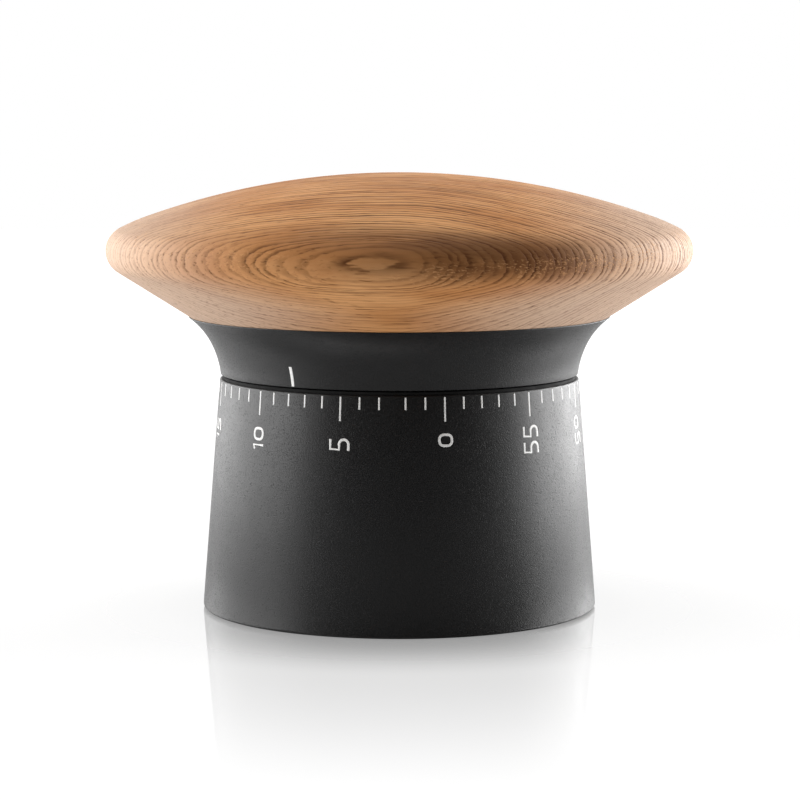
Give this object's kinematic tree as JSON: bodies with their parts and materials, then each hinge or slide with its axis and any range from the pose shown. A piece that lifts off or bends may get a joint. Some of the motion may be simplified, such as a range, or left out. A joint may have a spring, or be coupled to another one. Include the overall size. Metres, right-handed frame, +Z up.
{
  "type": "kitchen timer",
  "caption": "Wind-up sixty-minute kitchen timer: a domed oak knob on a flared collar that turns on a round tapered body with a minute scale, around a spring movement and a bell.",
  "frame": {"origin": "middle of the resting face, on the surface that the foot ring stands on", "axes": "+Z up along the axis that the knob turns about; -Y is the front, where the scale reads about ten minutes"},
  "size_m": [0.095, 0.095, 0.0707],
  "materials": {
    "oak": "oiled satin",
    "black_plastic": "fine matte texture",
    "scale_print": "matte printed ink",
    "rubber": "matte",
    "steel": "bright turned",
    "bell_steel": "plated",
    "spring_steel": "blued",
    "brass": "brushed"
  },
  "bodies": {
    "body": {"body_shell": "black_plastic", "bottom_cover": "black_plastic", "foot_ring": "rubber", "glide_washer": "rubber", "cover_screw_1": "steel", "cover_screw_2": "steel", "cover_screw_3": "steel", "deck_bush": "brass", "top_plate": "brass", "bottom_plate": "brass", "pillar_1": "steel", "pillar_2": "steel", "pillar_3": "steel", "pillar_nut_top_1": "steel", "pillar_nut_top_2": "steel", "pillar_nut_top_3": "steel", "pillar_nut_bottom_1": "steel", "pillar_nut_bottom_2": "steel", "pillar_nut_bottom_3": "steel", "movement_screw_1": "steel", "movement_screw_2": "steel", "movement_screw_3": "steel", "mainspring": "spring_steel", "hairspring": "spring_steel", "hairspring_stud": "brass", "bell": "bell_steel", "bell_bridge": "brass", "bell_screw": "steel", "hammer_pin": "steel", "hammer_spring": "spring_steel"},
    "knob": {"wooden_knob": "oak", "knob_collar": "black_plastic", "hub_insert": "brass", "knob_screw_1": "steel", "knob_screw_2": "steel", "knob_screw_3": "steel", "winding_arbor": "steel", "trip_cam": "brass", "clutch_clip": "steel", "clutch_spring": "spring_steel"},
    "great_wheel": {"great_wheel": "brass"},
    "second_wheel": {"second_wheel": "brass", "second_pinion": "steel"},
    "third_wheel": {"third_wheel": "brass", "third_pinion": "steel"},
    "escape_wheel": {"escape_wheel": "brass", "escape_pinion": "steel"},
    "lever": {"pallet_lever": "brass", "lever_arbor": "steel"},
    "balance": {"balance_wheel": "brass", "balance_staff": "steel"},
    "hammer": {"hammer": "steel"}
  },
  "joints": [
    {"name": "knob_turn", "type": "hinge", "parent": "body", "child": "knob", "pos_m": [0, 0, 0.0382], "axis": [0, 0, 1], "range_deg": [-314.7, 45.3], "deforming": ["mainspring"]},
    {"name": "great_turn", "type": "hinge", "parent": "body", "child": "great_wheel", "pos_m": [0, 0, 0.0212], "axis": [0, 0, 1], "range_deg": [-319.7, 50.3]},
    {"name": "second_turn", "type": "hinge", "parent": "body", "child": "second_wheel", "pos_m": [0, 0.0133, 0.0221], "axis": [0, 0, 1], "range_deg": [-283.8, 1900.2]},
    {"name": "third_turn", "type": "hinge", "parent": "body", "child": "third_wheel", "pos_m": [0.00943, 0.01202, 0.0221], "axis": [0, 0, 1], "range_deg": [-11389.2, 1690.8]},
    {"name": "escape_turn", "type": "hinge", "parent": "body", "child": "escape_wheel", "pos_m": [0.01495, 0.00645, 0.0221], "axis": [0, 0, 1], "range_deg": [-10084.8, 68275.2]},
    {"name": "balance_swing", "type": "hinge", "parent": "body", "child": "balance", "pos_m": [0.01007, -0.01026, 0.0221], "axis": [0, 0, 1], "range_deg": [-35, 35], "stiffness_Nm_per_rad": 0.0000018, "deforming": ["hairspring"]},
    {"name": "lever_rock", "type": "hinge", "parent": "body", "child": "lever", "pos_m": [0.01678, -0.00031, 0.0221], "axis": [0, 0, 1], "range_deg": [-6.8, 6.8]},
    {"name": "hammer_swing", "type": "hinge", "parent": "body", "child": "hammer", "pos_m": [-0.01321, -0.00481, 0.0119], "axis": [0, 0, 1], "range_deg": [-6, 6], "stiffness_Nm_per_rad": 0.0004, "deforming": ["hammer_spring"]}
  ],
  "couplings": [
    {"joint": "great_turn", "follows": "knob_turn", "ratio": 1},
    {"joint": "second_turn", "follows": "knob_turn", "ratio": -6},
    {"joint": "third_turn", "follows": "knob_turn", "ratio": 36},
    {"joint": "escape_turn", "follows": "knob_turn", "ratio": -216},
    {"joint": "lever_rock", "follows": "balance_swing", "ratio": -0.18}
  ]
}
